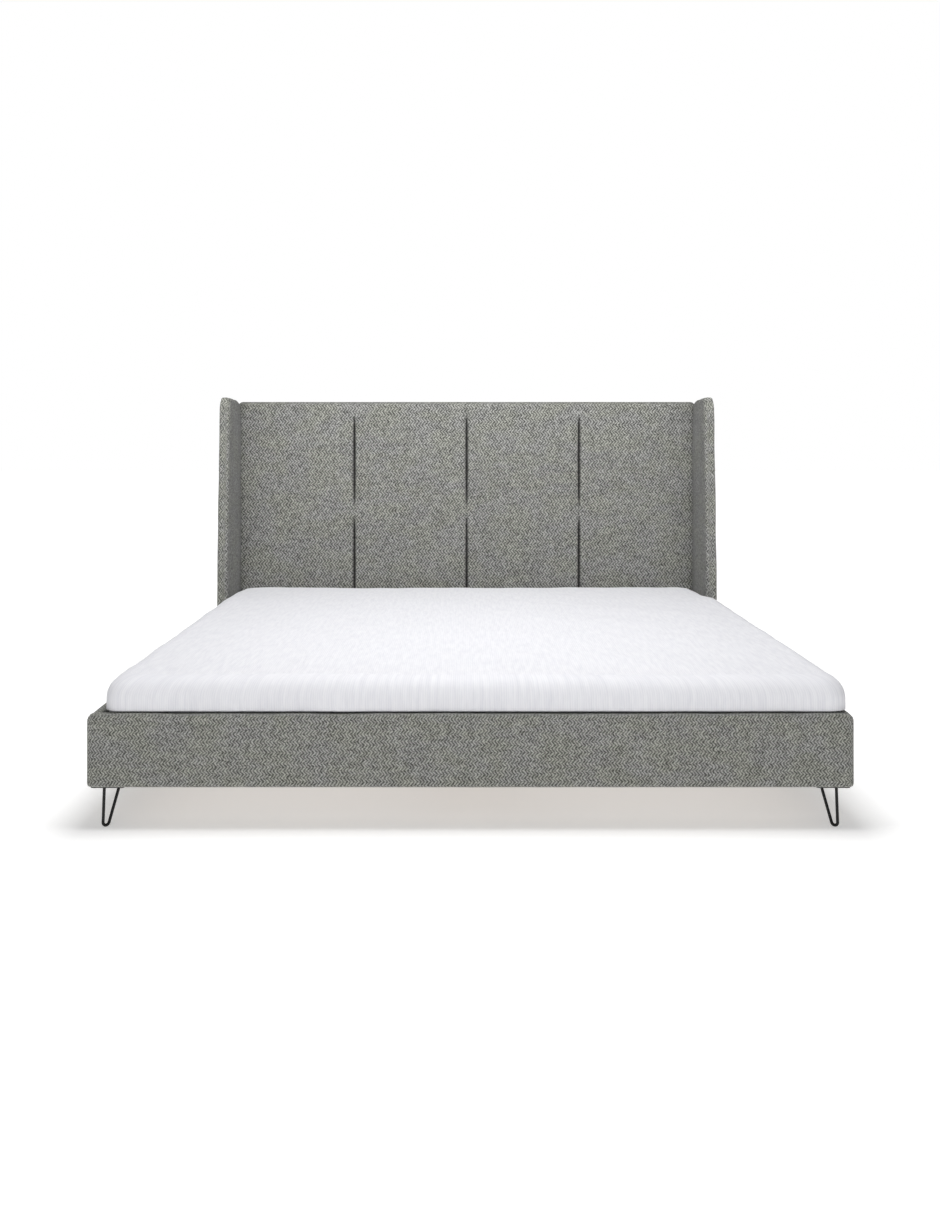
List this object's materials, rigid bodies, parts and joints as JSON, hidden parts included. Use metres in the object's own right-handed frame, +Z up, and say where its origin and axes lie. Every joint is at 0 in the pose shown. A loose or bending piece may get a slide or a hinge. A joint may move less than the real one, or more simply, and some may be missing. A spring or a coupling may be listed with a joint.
{
  "type": "upholstered wingback platform bed",
  "caption": "King-size platform bed with a tweed wing headboard, padded rails, black hairpin legs, a slatted base and a lift-off white mattress.",
  "frame": {"origin": "on the floor, under the middle of the bed's outline", "axes": "+X to the right as seen from the foot, +Y from the foot to the headboard, +Z up"},
  "size_m": [2.032, 2.164, 1.1879],
  "materials": {
    "tweed": "matte",
    "mattress_knit": "matte",
    "lining_cloth": "matte",
    "upholstery_foam": "matte",
    "black_powder_coat": "satin",
    "zinc_steel": "satin",
    "black_plastic": "matte",
    "plywood": "matte",
    "slat_timber": "matte",
    "frame_timber": "matte"
  },
  "bodies": {
    "frame": {"beam_hanger_front": "zinc_steel", "beam_hanger_rear": "zinc_steel", "center_beam": "frame_timber", "center_leg_front": "frame_timber", "center_leg_rear": "frame_timber", "connector_bolts": "zinc_steel", "corner_block_front_left": "frame_timber", "corner_block_front_right": "frame_timber", "corner_block_rear_left": "frame_timber", "corner_block_rear_right": "frame_timber", "footboard_board": "frame_timber", "footboard_cover": "tweed", "footboard_foam": "upholstery_foam", "hairpin_leg_front_left": "black_powder_coat", "hairpin_leg_front_right": "black_powder_coat", "hairpin_leg_rear_left": "black_powder_coat", "hairpin_leg_rear_right": "black_powder_coat", "headboard_back_lining": "lining_cloth", "headboard_bottom_rail": "frame_timber", "headboard_cover": "tweed", "headboard_face_panel": "plywood", "headboard_foam": "upholstery_foam", "headboard_stile_left": "frame_timber", "headboard_stile_right": "frame_timber", "headboard_stud_left": "frame_timber", "headboard_stud_right": "frame_timber", "headboard_top_rail": "frame_timber", "joint_plate_left": "zinc_steel", "joint_plate_right": "zinc_steel", "leg_screws": "zinc_steel", "side_rail_ledger_left": "frame_timber", "side_rail_ledger_right": "frame_timber", "side_rail_left_board": "frame_timber", "side_rail_left_cover": "tweed", "side_rail_left_foam": "upholstery_foam", "side_rail_right_board": "frame_timber", "side_rail_right_cover": "tweed", "side_rail_right_foam": "upholstery_foam", "slat_01": "slat_timber", "slat_02": "slat_timber", "slat_03": "slat_timber", "slat_04": "slat_timber", "slat_05": "slat_timber", "slat_06": "slat_timber", "slat_07": "slat_timber", "slat_08": "slat_timber", "slat_09": "slat_timber", "slat_10": "slat_timber", "slat_11": "slat_timber", "slat_12": "slat_timber", "wing_left_board": "frame_timber", "wing_left_cover": "tweed", "wing_left_foam": "upholstery_foam", "wing_right_board": "frame_timber", "wing_right_cover": "tweed", "wing_right_foam": "upholstery_foam", "wood_screws": "zinc_steel"},
    "mattress": {"mattress": "mattress_knit"},
    "leveller_front": {"leveller_foot_front": "black_plastic"},
    "leveller_rear": {"leveller_foot_rear": "black_plastic"}
  },
  "joints": [
    {"name": "mattress_lift", "type": "slide", "parent": "frame", "child": "mattress", "axis": [0, 0, 1], "range_m": [0, 1.05]},
    {"name": "leveller_front_screw", "type": "slide", "parent": "frame", "child": "leveller_front", "axis": [0, 0, 1], "range_m": [-0.012, 0]},
    {"name": "leveller_rear_screw", "type": "slide", "parent": "frame", "child": "leveller_rear", "axis": [0, 0, 1], "range_m": [-0.012, 0]}
  ]
}
